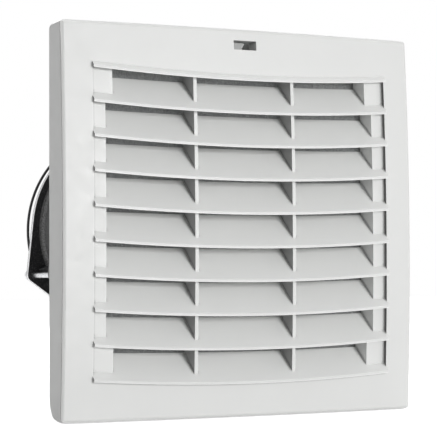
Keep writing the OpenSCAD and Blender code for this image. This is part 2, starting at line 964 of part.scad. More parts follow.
// Outline of the fan's flanges: a disc with two drawn-out lugs
module fan_outline() {
    turn = acos((fan_r - lug_r) / lug_d);
    circle(fan_r, $fn = 96);
    for (s = [0, 180])
        rotate(180 + lug_angle + s) {
            polygon([
                [fan_r * cos(turn), fan_r * sin(turn)],
                [lug_d + lug_r * cos(turn), lug_r * sin(turn)],
                [lug_d + lug_r * cos(turn), -lug_r * sin(turn)],
                [fan_r * cos(turn), -fan_r * sin(turn)]
            ]);
            translate([lug_d, 0])
                circle(lug_r);
        }
}

// Profile of the fan's ring, flared at both mouths
module ring_profile() {
    outer_r = throat_r + fan_wall;
    difference() {
        translate([throat_r - over, fan_y])
            square([fan_wall + over + flare, fan_depth]);
        translate([0, fan_y - over])
            square([throat_r, fan_depth + 2 * over]);
        translate([outer_r, fan_y + fan_flange_t + flare])
            square([2 * flare, fan_depth - 2 * fan_flange_t - 2 * flare]);
        for (y = [fan_y + fan_flange_t + flare, fan_back_y - fan_flange_t - flare])
            translate([outer_r + flare, y])
                circle(flare);
        for (s = [0, 1])
            translate([0, s == 0 ? fan_y : fan_back_y])
                mirror([0, s])
                    difference() {
                        translate([throat_r - over, -over])
                            square([flare + over, flare + over]);
                        translate([throat_r + flare, flare])
                            circle(flare);
                    }
    }
}

// A rib that stiffens each flange at its lug
module lug_gussets() {
    root_r = throat_r + fan_wall / 2;
    front = fan_y + fan_flange_t / 2;
    back = fan_back_y - fan_flange_t / 2;
    tip_r = throat_r + fan_wall + gusset_reach;
    at_lugs()
        translate([0, 0, -gusset_t / 2])
            linear_extrude(gusset_t) {
                polygon([[root_r, back], [tip_r, back], [tip_r, back - fan_flange_t],
                    [root_r, back - gusset_len]]);
                polygon([[root_r, front], [tip_r, front], [tip_r, front + fan_flange_t],
                    [root_r, front + gusset_len]]);
            }
}

module fan_housing() {
    color([0.1, 0.1, 0.11])
        difference() {
            union() {
                difference() {
                    union() {
                        slab(fan_y, fan_y + fan_flange_t)
                            fan_outline();
                        slab(fan_back_y - fan_flange_t, fan_back_y)
                            fan_outline();
                    }
                    bar_y(throat_r + fan_wall, fan_y - over, fan_back_y + over, $fn = 96);
                }
                turned()
                    ring_profile();
                lug_gussets();
            }
            at_lugs()
                translate([lug_d, 0, 0])
                    bar_y(lug_hole_r, fan_y - over, fan_back_y + over);
        }
}

// Copies children to the struts, with X along each strut, at the middle of its depth
module at_struts() {
    for (i = [0:strut_count - 1])
        rotate([0, 45 + 360 / strut_count * i, 0])
            translate([0, strut_back_y - strut_t / 2, 0])
                children();
}

// Plate that carries the motor, with its struts to the fan's ring
module motor_bracket() {
    color([0.1, 0.1, 0.11])
        difference() {
            union() {
                bar_y(base_r, fan_back_y - base_t, fan_back_y);
                intersection() {
                    at_struts()
                        translate([base_r - over, -strut_t / 2, -strut_w / 2])
                            cube([throat_r, strut_t, strut_w]);
                    bar_y(throat_r - hold, fan_y, fan_back_y, $fn = 96);
                }
            }
            bar_y(race_r, fan_back_y - base_t - over, fan_back_y + over);
        }
}

module bearing_tube() {
    tube_y = front_bearing_y - fit;
    color([0.62, 0.63, 0.64])
        turned()
            difference() {
                union() {
                    translate([race_r + hold, tube_y])
                        square([tube_r - race_r - 2 * hold, fan_back_y - base_t - tube_y]);
                    translate([race_r + hold, fan_back_y - base_t - fan_wall])
                        square([base_r / 2 - race_r + tube_r / 2, fan_wall]);
                }
                translate([0, rear_bearing_y + bearing_t + 4 * washer_t])
                    square([race_r + hold, fan_depth]);
            }
}

module stator_core() {
    color([0.55, 0.56, 0.58])
        slab(core_y, core_y + core_len)
            difference() {
                circle(stator_r, $fn = 96);
                circle(tube_r);
                for (i = [0:slot_count - 1])
                    rotate(360 / slot_count * i) {
                        translate([(tube_r + stator_r) / 2 + bar_t / 2, 0])
                            circle((stator_r - tube_r) / 4);
                        translate([(tube_r + stator_r) / 2, -bar_t / 2])
                            square([stator_r, bar_t]);
                    }
            }
}

module stator_windings() {
    inner = tube_r + winding_in;
    outer = stator_r - winding_out;
    color([0.72, 0.4, 0.2])
        turned()
            for (y = [core_y - winding_len, core_y + core_len])
                translate([(inner + outer) / 2, y + winding_len / 2])
                    soft_square(outer - inner, winding_len, winding_len / 3);
}

// One ball bearing, its races and shields as one ring
module ball_bearing(y) {
    color([0.72, 0.73, 0.75])
        turned()
            difference() {
                translate([bearing_bore_r, y])
                    square([race_r - bearing_bore_r, bearing_t]);
                for (end = [y, y + bearing_t])
                    translate([bearing_bore_r + race_w, end - groove_t])
                        square([race_r - bearing_bore_r - 2 * race_w, 2 * groove_t]);
            }
}

module front_bearing() {
    ball_bearing(front_bearing_y);
}

module rear_bearing() {
    ball_bearing(rear_bearing_y);
}

module rotor_can() {
    bend = 2.5 * can_wall;
    color([0.2, 0.2, 0.22])
        turned()
            difference() {
                union() {
                    translate([0, can_front_y])
                        square([can_r - bend, can_len]);
                    translate([0, can_front_y + bend])
                        square([can_r, can_len - bend]);
                    translate([can_r - bend, can_front_y + bend])
                        circle(bend);
                }
                difference() {
                    translate([-over, can_front_y + can_wall])
                        square([can_r - can_wall + over, can_len]);
                    translate([-over, can_front_y])
                        square([shaft_boss_r + over, can_wall + shaft_boss_t]);
                }
                translate([-over, can_front_y + can_wall / 2])
                    square([shaft_r + hold + over, can_len]);
            }
}

module rotor_core() {
    color([0.5, 0.51, 0.53])
        turned()
            translate([stator_r + air_gap, core_y - fit])
                square([can_r - can_wall - hold - stator_r - air_gap, core_len + 2 * fit]);
}

module rotor_shaft() {
    end_y = rear_bearing_y + bearing_t + 2 * washer_t + clip_ring_t + shaft_tail;
    color([0.78, 0.78, 0.8])
        bar_y(shaft_r, can_front_y + can_wall / 2 + hold, end_y);
}

module shaft_washer() {
    color([0.75, 0.75, 0.77])
        turned()
            translate([shaft_r + hold, rear_bearing_y + bearing_t + washer_t / 2])
                square([clip_ring_r - shaft_r, washer_t]);
}

module shaft_retaining_ring() {
    ring_y = rear_bearing_y + bearing_t + 2 * washer_t;
    color([0.3, 0.3, 0.32])
        difference() {
            turned()
                translate([shaft_r + hold, ring_y])
                    square([clip_ring_r - shaft_r - washer_t, clip_ring_t]);
            translate([-shaft_r / 2, ring_y - over, 0])
                cube([shaft_r, clip_ring_t + 2 * over, 2 * clip_ring_r]);
        }
}

// One curved sheet blade, from the can to the tip
module fan_blade() {
    mid_y = can_front_y + can_len / 2 - can_wall;
    swing = asin(fan_blade_chord / 2 / fan_blade_r);
    reach = 2 * fan_blade_r;
    intersection() {
        translate([0, mid_y, 0])
            rotate([0, 90, 0])
                linear_extrude(2 * tip_r)
                    rotate(fan_blade_stagger)
                        translate([-fan_blade_r * cos(swing / 2), 0])
                            intersection() {
                                difference() {
                                    circle(fan_blade_r + fan_blade_t / 2, $fn = 180);
                                    circle(fan_blade_r - fan_blade_t / 2, $fn = 180);
                                }
                                polygon([[0, 0], [reach * cos(swing), -reach * sin(swing)], [reach, 0],
                                    [reach * cos(swing), reach * sin(swing)]]);
                            }
        difference() {
            bar_y(tip_r, fan_y, fan_back_y, $fn = 180);
            bar_y(can_r + hold, fan_y - over, fan_back_y + over, $fn = 180);
        }
    }
}

module fan_blades() {
    color([0.2, 0.2, 0.22])
        for (i = [0:blade_count - 1])
            rotate([0, 360 / blade_count * i, 0])
                fan_blade();
}

// A straight piece of wire between two points
module wire(from, to, r) {
    way = to - from;
    translate(from)
        rotate([0, acos(way[2] / norm(way)), atan2(way[1], way[0])])
            cylinder(r = r, h = norm(way), $fn = 24);
}

// A closed ring of wire round the Y axis
module wire_ring(r, y) {
    rotate([-90, 0, 0])
        rotate_extrude($fn = 96)
            translate([r, y])
                circle(wire_r, $fn = 24);
}

module finger_guard() {
    step = (guard_r - inner_ring_r) / (ring_count - 1);
    color([0.08, 0.08, 0.09]) {
        for (i = [0:ring_count - 1])
            wire_ring(inner_ring_r + i * step, guard_y);
        for (i = [0:spoke_count - 1])
            rotate([0, -180 - lug_angle + 360 / spoke_count * i, 0])
                wire([inner_ring_r, spoke_y, 0], [guard_r, spoke_y, 0], wire_r);
        at_lugs() {
            wire([guard_r, spoke_y, 0], [guard_r, eye_y, 0], wire_r);
            wire([guard_r, eye_y, 0], [lug_d - eye_r, eye_y, 0], wire_r);
            translate([lug_d, 0, 0])
                wire_ring(eye_r, eye_y);
        }
    }
}

module fan_screws() {
    head_y = lug_washer_y + washer_t * 2 + hold;
    end_y = hood_plate_y - screw_boss_len + screw_r;
    color([0.75, 0.75, 0.77])
        at_lugs()
            translate([lug_d, 0, 0]) {
                bar_y(screw_r, end_y, head_y + hold);
                difference() {
                    bar_y(screw_head_r, head_y, head_y + screw_head_t);
                    translate([0, head_y + screw_head_t, 0])
                        cube([3 * screw_head_r, screw_head_t, screw_head_r / 4], center = true);
                }
            }
}

module fan_washers() {
    color([0.75, 0.75, 0.77])
        at_lugs()
            translate([lug_d, 0, 0])
                difference() {
                    bar_y(washer_r, lug_washer_y, lug_washer_y + 2 * washer_t);
                    bar_y(screw_r + 5 * hold, lug_washer_y - over, lug_washer_y + over + washer_t * 2);
                }
}

// Moves children to the terminal block's place on the hood's rear plate
module terminal_place() {
    translate([terminal_x, 0, terminal_z])
        rotate([0, -45, 0])
            children();
}

module terminal_block() {
    color([0.9, 0.9, 0.88])
        terminal_place()
            difference() {
                union() {
                    span_box([-terminal_w / 2, fan_y, -terminal_h / 2],
                        [terminal_w / 2, fan_y + terminal_d, terminal_h / 2]);
                    span_box([-terminal_w / 2 - terminal_foot_w, fan_y, -terminal_h / 3],
                        [terminal_w / 2 + terminal_foot_w, fan_y + terminal_foot_t, terminal_h / 3]);
                }
                for (i = [-1:1])
                    translate([i * terminal_pitch, 0, 0]) {
                        // clamp screw well, open to the rear
                        bar_y(terminal_screw_r + fit, fan_y + terminal_d / 3, fan_y + terminal_d + over);
                        translate([0, fan_y + terminal_d / 3, 0])
                            cylinder(r = wire_way_r, h = terminal_h + 2 * over, center = true);
                    }
                for (s = [-1, 1])
                    translate([s * (terminal_w + terminal_foot_w) / 2, 0, 0])
                        bar_y(terminal_screw_r + hold, fan_y - over, fan_y + terminal_foot_t + over);
            }
}

// The three leads from the motor's plate over the fan's rim to the terminals
module motor_leads() {
    top_y = fan_back_y + lead_r + hold;
    rim_r = fan_r + 2 * lead_r;
    end_y = fan_y + terminal_d / 3;
    end_r = norm([terminal_x, terminal_z]) - terminal_h / 2;
    color([0.3, 0.3, 0.35])
        rotate([0, 45, 0])
            for (i = [-1:1])
                bent_lead([
                    [base_r - 3 * lead_r, top_y, i * lead_pitch],
                    [throat_r, top_y, i * lead_pitch],
                    [rim_r, top_y, i * lead_pitch],
                    [rim_r, fan_back_y - 3 * fan_flange_t, i * terminal_pitch],
                    [rim_r, end_y, i * terminal_pitch],
                    [end_r + lead_r, end_y, i * terminal_pitch]
                ]);
}

// A round lead along straight runs, with round bends
module bent_lead(points) {
    for (i = [0:len(points) - 2])
        wire(points[i], points[i + 1], lead_r);
    for (i = [1:len(points) - 2])
        translate(points[i])
            sphere(1.1 * lead_r);
}

// A small slotted screw along Y, its head's underside at y
module small_screw(r, y, len) {
    head_r = 1.7 * r;
    head_t = 0.9 * r;
    bar_y(r, y - len, y + hold);
    difference() {
        bar_y(head_r, y, y + head_t);
        translate([0, y + head_t, 0])
            cube([3 * head_r, head_t, head_r / 4], center = true);
    }
}

module terminal_screws() {
    seat = fan_y + terminal_d / 3 + wire_way_r;
    color([0.75, 0.75, 0.77])
        terminal_place()
            for (i = [-1:1])
                translate([i * terminal_pitch, 0, 0])
                    difference() {
                        bar_y(terminal_screw_r, seat, fan_y + 0.85 * terminal_d);
                        translate([0, fan_y + 0.85 * terminal_d, 0])
                            cube([3 * terminal_screw_r, terminal_screw_r, terminal_screw_r / 3],
                                center = true);
                    }
}

module terminal_fixing_screws() {
    seat = fan_y + terminal_foot_t + hold;
    color([0.75, 0.75, 0.77])
        terminal_place()
            for (s = [-1, 1])
                translate([s * (terminal_w + terminal_foot_w) / 2, 0, 0])
                    small_screw(terminal_screw_r, seat, terminal_foot_t + hood_plate_t + fan_flange_t);
}

front_cover();
latch_slide();
latch_spring();
mounting_frame();
panel_seal();
filter_mat();
filter_grid();
hinge_pin_left();
hinge_pin_right();
wall_clip_left_upper();
wall_clip_left_lower();
wall_clip_right_upper();
wall_clip_right_lower();
fan_hood();
hood_screws();
fan_housing();
motor_bracket();
bearing_tube();
stator_core();
stator_windings();
front_bearing();
rear_bearing();
rotor_can();
rotor_core();
rotor_shaft();
shaft_washer();
shaft_retaining_ring();
fan_blades();
finger_guard();
fan_screws();
fan_washers();
terminal_block();
terminal_screws();
terminal_fixing_screws();
motor_leads();
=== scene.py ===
import json
import math

import bmesh
import bpy
from mathutils import Matrix, Vector, noise

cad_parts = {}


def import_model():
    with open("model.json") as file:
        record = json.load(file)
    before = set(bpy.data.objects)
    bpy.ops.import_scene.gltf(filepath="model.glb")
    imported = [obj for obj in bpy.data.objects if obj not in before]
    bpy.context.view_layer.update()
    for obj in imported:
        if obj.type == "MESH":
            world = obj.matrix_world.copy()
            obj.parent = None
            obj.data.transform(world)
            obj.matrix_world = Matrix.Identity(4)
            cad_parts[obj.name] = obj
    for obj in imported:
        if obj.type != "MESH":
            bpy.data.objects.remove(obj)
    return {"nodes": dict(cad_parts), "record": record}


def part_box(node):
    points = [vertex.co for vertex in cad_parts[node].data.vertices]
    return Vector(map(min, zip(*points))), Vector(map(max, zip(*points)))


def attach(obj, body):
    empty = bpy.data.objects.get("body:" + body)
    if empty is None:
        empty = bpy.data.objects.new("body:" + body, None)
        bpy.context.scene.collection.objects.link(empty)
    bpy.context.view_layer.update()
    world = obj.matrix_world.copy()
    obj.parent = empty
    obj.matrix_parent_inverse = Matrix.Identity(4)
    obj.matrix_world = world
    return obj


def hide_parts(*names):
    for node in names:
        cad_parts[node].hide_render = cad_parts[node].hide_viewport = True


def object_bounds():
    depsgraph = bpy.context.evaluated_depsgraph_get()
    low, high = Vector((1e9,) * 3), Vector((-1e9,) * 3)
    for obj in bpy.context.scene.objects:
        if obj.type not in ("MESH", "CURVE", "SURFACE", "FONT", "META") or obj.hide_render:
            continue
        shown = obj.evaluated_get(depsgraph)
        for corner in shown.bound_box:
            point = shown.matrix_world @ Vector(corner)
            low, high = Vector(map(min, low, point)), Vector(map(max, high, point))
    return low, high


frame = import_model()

cad_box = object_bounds()
scene = bpy.context.scene

MM = 0.001
COVER = (0.74, 0.745, 0.735)
FRAME = (0.60, 0.607, 0.60)
# The latch grey is darkened as painted shade, for the shade inside the slot.
LATCH_IN_SHADE = (0.33, 0.335, 0.33)
TERMINAL = (0.71, 0.70, 0.655)
WHITE = (1, 1, 1)


def link(obj):
    scene.collection.objects.link(obj)
    return obj


def mesh_object(name, bm, material, smooth=True):
    """An object made of a bmesh, which is freed."""
    mesh = bpy.data.meshes.new(name)
    bm.normal_update()
    bm.to_mesh(mesh)
    bm.free()
    mesh.materials.append(material)
    for face in mesh.polygons:
        face.use_smooth = smooth
    return link(bpy.data.objects.new(name, mesh))


class Nodes:
    """Builds one procedural material. Its patterns follow the object's own place, in millimetres."""

    def __init__(self, name):
        self.mat = bpy.data.materials.new(name)
        self.mat.use_nodes = True
        self.tree = self.mat.node_tree
        self.shader = self.tree.nodes["Principled BSDF"]
        self.normal = None
        scale = self.new("Mapping", Scale=(1 / MM, 1 / MM, 1 / MM))
        self.put(self.new("TexCoord").outputs["Object"], scale.inputs["Vector"])
        self.place = scale.outputs["Vector"]

    def new(self, kind, **values):
        """A node with values for the sockets named. An underscore stands for a space."""
        node = self.tree.nodes.new("ShaderNode" + kind)
        for name, value in values.items():
            node.inputs[name.replace("_", " ")].default_value = value
        return node

    def put(self, value, socket):
        """Joins a socket to an output, or sets it to a colour or a number."""
        if isinstance(value, bpy.types.NodeSocket):
            self.tree.links.new(value, socket)
        elif isinstance(value, tuple):
            socket.default_value = (*value, 1)
        else:
            socket.default_value = value

    def stretched(self, x, y, z):
        node = self.new("Mapping", Scale=(x, y, z))
        self.put(self.place, node.inputs["Vector"])
        return node.outputs["Vector"]

    def noise(self, scale, detail, rough, place=None, distortion=0.0):
        node = self.new("TexNoise", Scale=scale, Detail=detail, Roughness=rough, Distortion=distortion)
        self.put(place or self.place, node.inputs["Vector"])
        return node.outputs["Fac"]

    def cells(self, scale, feature="F1"):
        node = self.new("TexVoronoi", Scale=scale)
        node.feature = feature
        self.put(self.place, node.inputs["Vector"])
        return node.outputs["Distance"]

    def bands(self, scale, distortion):
        """Even bands along the fan's own axis, Y."""
        node = self.new("TexWave", Scale=scale, Distortion=distortion)
        node.bands_direction = "Y"
        self.put(self.place, node.inputs["Vector"])
        return node.outputs["Fac"]

    def fit(self, value, low, high, to_low=0, to_high=1):
        """A value between two limits, stretched to lie between two others."""
        node = self.new("MapRange", From_Min=low, From_Max=high, To_Min=to_low, To_Max=to_high)
        self.put(value, node.inputs["Value"])
        return node.outputs["Result"]

    def math(self, kind, a, b=0):
        node = self.new("Math")
        node.operation = kind
        self.put(a, node.inputs[0])
        self.put(b, node.inputs[1])
        return node.outputs[0]

    def times(self, *values):
        product = values[0]
        for value in values[1:]:
            product = self.math("MULTIPLY", product, value)
        return product

    def mix(self, factor, a, b):
        node = self.tree.nodes.new("ShaderNodeMix")
        node.data_type = "RGBA"
        for name, value in (("Factor", factor), ("A", a), ("B", b)):
            self.put(value, node.inputs[name])
        return node.outputs["Result"]

    def edge_wear_and_highlight(self, reach_mm):
        """0 on flat faces to 1 on edges, from how far a rounded normal turns away."""
        bevel = self.new("Bevel", Radius=reach_mm * MM)
        bevel.samples = 4
        dot = self.tree.nodes.new("ShaderNodeVectorMath")
        dot.operation = "DOT_PRODUCT"
        self.put(bevel.outputs["Normal"], dot.inputs[0])
        self.put(self.new("NewGeometry").outputs["Normal"], dot.inputs[1])
        return self.fit(dot.outputs["Value"], 0.98, 0.6)

    def painted_crevice_shade(self, reach_mm, low, high):
        """0 on open faces to 1 in the corners between two walls, from ambient occlusion; a mask for
        painted shade.
        """
        node = self.new("AmbientOcclusion", Distance=reach_mm * MM)
        node.samples = 6
        node.only_local = True
        return self.fit(node.outputs["AO"], high, low)

    def facing(self, axis, low, high):
        """0 to 1 as the surface turns towards one of the object's own axes."""
        split = self.new("SeparateXYZ")
        self.put(self.new("TexCoord").outputs["Normal"], split.inputs[0])
        return self.fit(split.outputs[axis], low, high)

    def along(self, axis):
        split = self.new("SeparateXYZ")
        self.put(self.place, split.inputs[0])
        return split.outputs[axis]

    def radius(self):
        """Distance from the fan's axis, in millimetres."""
        across, up = self.along("X"), self.along("Z")
        return self.math("SQRT", self.math("ADD", self.times(across, across), self.times(up, up)))

    def window(self, value, low, high, soft):
        """1 where a value lies between two limits, with soft ends."""
        return self.times(self.fit(value, low - soft, low), self.fit(value, high + soft, high))

    def bump(self, value, strength, distance_mm):
        """Adds one layer of relief to those that are there."""
        node = self.new("Bump", Strength=strength, Distance=distance_mm * MM)
        self.put(value, node.inputs["Height"])
        if self.normal is not None:
            self.put(self.normal, node.inputs["Normal"])
        self.normal = node.outputs["Normal"]

    def finish(self, colour, rough, **others):
        """Joins everything to the shader, and gives the material."""
        for name, value in {"Base Color": colour, "Roughness": rough, **others}.items():
            self.put(value, self.shader.inputs[name.replace("_", " ")])
        if self.normal is not None:
            self.put(self.normal, self.shader.inputs["Normal"])
        return self.mat


def tint(colour, factor):
    """A colour made darker or lighter, up to white."""
    return tuple(min(1.0, c * factor) for c in colour)


def clouded(n, colour, spread):
    """A plain colour with the faint flow clouds of moulded plastic."""
    cloud = n.noise(0.018, 4, 0.6)
    return n.mix(n.fit(cloud, 0.3, 0.7), tint(colour, 1 - spread), tint(colour, 1 + spread))


def moulded_skin(n, base, rough, grain, strength):
    """The surface of moulded plastic: spark-eroded grain, slight waves and uneven gloss."""
    n.bump(n.noise(grain, 2, 0.6), strength, 0.035)
    n.bump(n.noise(0.05, 2, 0.5), 0.12, 0.3)
    return n.finish(base, n.fit(n.noise(0.12, 3, 0.6), 0.3, 0.7, rough - 0.06, rough + 0.07))


def moulded(name, colour, rough, grain, strength, spread):
    """Moulded plastic with a few darker specks."""
    n = Nodes(name)
    speck = n.fit(n.noise(0.9, 2, 0.5), 0.62, 0.75, 0, 0.12)
    base = n.mix(speck, clouded(n, colour, spread), tint(colour, 0.8))
    return moulded_skin(n, base, rough, grain, strength)


def cover_look():
    """The louvred cover, with light painted into its colour: slopes made lighter as painted light,
    painted white highlights on the edges, and painted shade on the lip ends, the bar sides and the
    corners.
    """
    lip_end_x = (105, 105.3)
    lip_y = (-30, -19)
    bar_x = (33, 37)
    bar_y = (-30, -7)
    n = Nodes("cover_plastic_painted_light_look")
    aside = n.math("ABSOLUTE", n.along("X"))
    deep = n.along("Y")
    left = n.facing("X", -0.8, -0.9)
    # Painted light: faces that turn up and forward (the slat slopes) are given a lighter colour, as if
    # lit from above the front.
    painted_light_slope = n.times(n.facing("Z", 0.35, 0.6), n.facing("Y", -0.3, -0.5))
    # Painted shade: the left end faces of the slat lips are made nearly black.
    lip_end_shade = n.times(n.window(aside, *lip_end_x, 0.1), left, n.window(deep, *lip_y, 0.5), 0.9)
    # Painted shade: the left-facing sides of the bars are darkened.
    bar_side_shade = n.times(n.window(aside, *bar_x, 0.2), left, n.window(deep, *bar_y, 0.5), 0.75)
    # Painted shade: corners between walls are darkened from ambient occlusion.
    corner = n.times(n.painted_crevice_shade(3.0, 0.5, 0.85), 0.7)
    # Painted highlight: convex edges of the cover are made near white.
    edge = n.times(n.edge_wear_and_highlight(1.0), 0.95)
    base = clouded(n, COVER, 0.012)
    # Painted light: the slopes are lightened.
    base = n.mix(painted_light_slope, base, tint(COVER, 1.24))
    # Painted shade on the lip ends.
    base = n.mix(lip_end_shade, base, (0.03, 0.03, 0.03))
    # Painted shade on the bar sides.
    base = n.mix(bar_side_shade, base, (0.2, 0.2, 0.2))
    # Painted shade in the corners.
    base = n.mix(corner, base, (0.12, 0.12, 0.12))
    # Painted highlight on the edges.
    base = n.mix(edge, base, (0.98, 0.98, 0.975))
    return moulded_skin(n, base, 0.46, 3.0, 0.22)


def foam_look():
    """Black cellular foam."""
    n = Nodes("seal_foam_look")
    pore = n.cells(2.2)
    base = n.mix(n.fit(pore, 0.1, 0.5), (0.012, 0.012, 0.013), (0.05, 0.05, 0.054))
    n.bump(pore, 0.7, 0.2)
    return n.finish(base, 0.9)


def fibre_look():
    """Matted fibres that run up and across, with darker clumps."""
    n = Nodes("filter_fibre_look")
    strands = n.noise(0.9, 5, 0.7, n.stretched(1.0, 0.4, 0.22), 2.5)
    cross = n.noise(1.1, 5, 0.7, n.stretched(0.2, 0.4, 1.1), 2.5)
    web = n.math("MAXIMUM", strands, cross)
    clump = n.noise(0.06, 3, 0.6)
    base = n.mix(n.fit(web, 0.42, 0.68), (0.17, 0.175, 0.18), (0.62, 0.63, 0.63))
    base = n.mix(n.fit(clump, 0.35, 0.7, 0, 0.35), base, (0.33, 0.34, 0.345))
    n.bump(web, 0.9, 0.9)
    return n.finish(base, 0.95, Sheen_Weight=0.3)


def cast_look():
    """Black paint on a die casting: orange peel, light specks and a machined rear rim, with a lighter
    band on the wall as painted light and edges lightened as wear and painted highlight.
    """
    wall_r = (66, 70)
    rim_r = 74.8
    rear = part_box("fan_housing")[1][1] / MM
    n = Nodes("housing_paint_painted_light_look")
    peel = n.noise(1.1, 3, 0.6)
    speck = n.fit(n.noise(1.5, 3, 0.75), 0.53, 0.66)
    # Painted light: the cylinder wall at radius 66 to 70 mm is lightened in patches, as if lit from the
    # side.
    wall = n.times(n.window(n.radius(), *wall_r, 0.5), n.fit(n.noise(1.3, 3, 0.8), 0.4, 0.56, 0.1, 0.9))
    # Edges lightened in patches: partly edge wear, partly painted highlight.
    edge = n.times(n.edge_wear_and_highlight(0.6), n.fit(n.noise(0.35, 4, 0.7), 0.4, 0.6), 0.9)
    rim = n.times(n.window(n.along("Y"), rear - 3.4, rear - 0.9, 0.25),
                  n.fit(n.radius(), rim_r - 0.6, rim_r),
                  n.fit(n.noise(0.6, 3, 0.6), 0.3, 0.5, 0.55, 1))
    base = n.mix(speck, (0.012, 0.012, 0.013), (0.13, 0.13, 0.135))
    # Painted light on the wall band.
    base = n.mix(wall, base, (0.3, 0.3, 0.3))
    base = n.mix(edge, base, (0.5, 0.5, 0.505))
    base = n.mix(rim, base, (0.72, 0.72, 0.73))
    n.bump(peel, 0.55, 0.14)
    return n.finish(base, n.fit(peel, 0.3, 0.7, 0.26, 0.46), Metallic=n.times(rim, 0.8))


def coat_look(name, colour, rough):
    """A thin dark coat on sheet or wire, with slight clouds."""
    n = Nodes(name)
    cloud = n.noise(0.12, 4, 0.6)
    base = n.mix(n.fit(cloud, 0.35, 0.65), tint(colour, 0.75), tint(colour, 1.5))
    n.bump(n.noise(0.8, 3, 0.6), 0.25, 0.06)
    return n.finish(base, n.fit(cloud, 0.3, 0.7, rough - 0.07, rough + 0.1))


def zinc_look():
    """Zinc plate with its faint crystal flakes."""
    n = Nodes("steel_look")
    flake = n.cells(0.9, "SMOOTH_F1")
    base = n.mix(n.fit(flake, 0.1, 0.8), (0.47, 0.48, 0.5), (0.64, 0.645, 0.65))
    n.bump(n.noise(3, 2, 0.6), 0.15, 0.02)
    return n.finish(base, n.fit(n.noise(0.5, 3, 0.6), 0.3, 0.7, 0.22, 0.4), Metallic=1.0)


def ground_look():
    """Bright steel with the fine rings that grinding leaves."""
    n = Nodes("bright_steel_look")
    lines = n.noise(2.0, 3, 0.7, n.stretched(1, 6, 1))
    base = n.mix(n.fit(lines, 0.35, 0.65), (0.5, 0.5, 0.52), (0.68, 0.68, 0.69))
    n.bump(lines, 0.12, 0.02)
    return n.finish(base, n.fit(lines, 0.3, 0.7, 0.14, 0.28), Metallic=1.0)


def core_look():
    """A stack of core sheets."""
    n = Nodes("core_sheet_look")
    sheets = n.bands(1.0, 0.4)
    base = n.mix(sheets, (0.12, 0.125, 0.135), (0.4, 0.41, 0.43))
    n.bump(sheets, 0.5, 0.12)
    return n.finish(base, 0.42, Metallic=0.9)


def turned_look():
    """Aluminium with the rings of the lathe."""
    n = Nodes("aluminium_tube_look")
    rings = n.bands(2.2, 0.6)
    base = n.mix(rings, (0.56, 0.57, 0.58), (0.72, 0.725, 0.73))
    n.bump(rings, 0.2, 0.03)
    return n.finish(base, n.fit(rings, 0, 1, 0.24, 0.36), Metallic=1.0)


def copper_look():
    """Turns of varnished copper wire."""
    n = Nodes("copper_look")
    turns = n.bands(1.4, 1.2)
    base = n.mix(turns, (0.3, 0.1, 0.035), (0.68, 0.3, 0.13))
    n.bump(turns, 0.7, 0.15)
    return n.finish(base, 0.28, Metallic=0.85, Coat_Weight=0.4)


def lead_look():
    """Black sheaths with a slight drawn grain and a matt skin."""
    n = Nodes("lead_sheath_look")
    cloud = n.noise(0.25, 3, 0.6)
    base = n.mix(n.fit(cloud, 0.35, 0.65), (0.02, 0.02, 0.024), (0.055, 0.055, 0.062))
    n.bump(n.noise(1.6, 2, 0.5), 0.15, 0.05)
    return n.finish(base, n.fit(cloud, 0.3, 0.7, 0.38, 0.55))


LOOKS = {
    "cover_plastic": cover_look(),
    "frame_plastic": moulded("frame_plastic_look", FRAME, 0.5, 2.4, 0.3, 0.02),
    # The latch plastic takes the darkened grey: painted shade.
    "latch_plastic": moulded("latch_plastic_painted_shade_look", LATCH_IN_SHADE, 0.4, 3.0, 0.15, 0.015),
    "terminal_plastic": moulded("terminal_plastic_look", TERMINAL, 0.36, 3.0, 0.12, 0.02),
    "seal_foam": foam_look(),
    "filter_fibre": fibre_look(),
    "housing_paint": cast_look(),
    "rotor_paint": coat_look("rotor_paint_look", (0.03, 0.03, 0.033), 0.34),
    "guard_wire": coat_look("guard_wire_look", (0.014, 0.014, 0.015), 0.26),
    "steel": zinc_look(),
    "bright_steel": ground_look(),
    "core_sheet": core_look(),
    "aluminium_tube": turned_look(),
    "copper": copper_look(),
    "lead_sheath": lead_look(),
}
slot_of = {part["node"]: part["material_slot"] for part in frame["record"]["subparts"]}
for name, obj in frame["nodes"].items():
    for i in range(len(obj.data.materials)):
        obj.data.materials[i] = LOOKS[slot_of[name]]


def level_cover():
    """The cover with the feet of its hinge arms cut level with the lower edge of its face."""
    arm_x = 85 * MM
    arm_half = 5.5 * MM
    foot_front = -24.5 * MM
    foot_top = -123.5 * MM
    near = 0.02 * MM
    bm = bmesh.new()
    bm.from_mesh(frame["nodes"]["front_cover"].data)
    tips = [v for v in bm.verts if v.co.y < foot_front and v.co.z < foot_top
            and abs(abs(v.co.x) - arm_x) < arm_half]
    for tip in tips:
        tip.co.y = min(v.co.y for v in bm.verts if v.co.y > foot_front
                       and abs(v.co.x - tip.co.x) < near and abs(v.co.z - tip.co.z) < near)
    places = [tip.co.copy() for tip in tips]
    edges = {edge for tip in tips for edge in tip.link_edges}
    bmesh.ops.dissolve_degenerate(bm, dist=near / 2, edges=list(edges))
    mesh = frame["nodes"]["front_cover"].data.copy()
    mesh.name = "louvred_cover"
    bm.to_mesh(mesh)
    bm.free()
    moved = {v.index for v in mesh.vertices
             if any((v.co - place).length < near for place in places)}
    normals = [corner.vector.copy() for corner in mesh.corner_normals]
    for face in mesh.polygons:
        if face.normal.y < -0.8 and not moved.isdisjoint(face.vertices):
            for corner in face.loop_indices:
                normals[corner] = face.normal.copy()
    mesh.normals_split_custom_set(normals)
    return link(bpy.data.objects.new("louvred_cover", mesh))


cover_piece = level_cover()
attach(cover_piece, "cover")
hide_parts("front_cover")


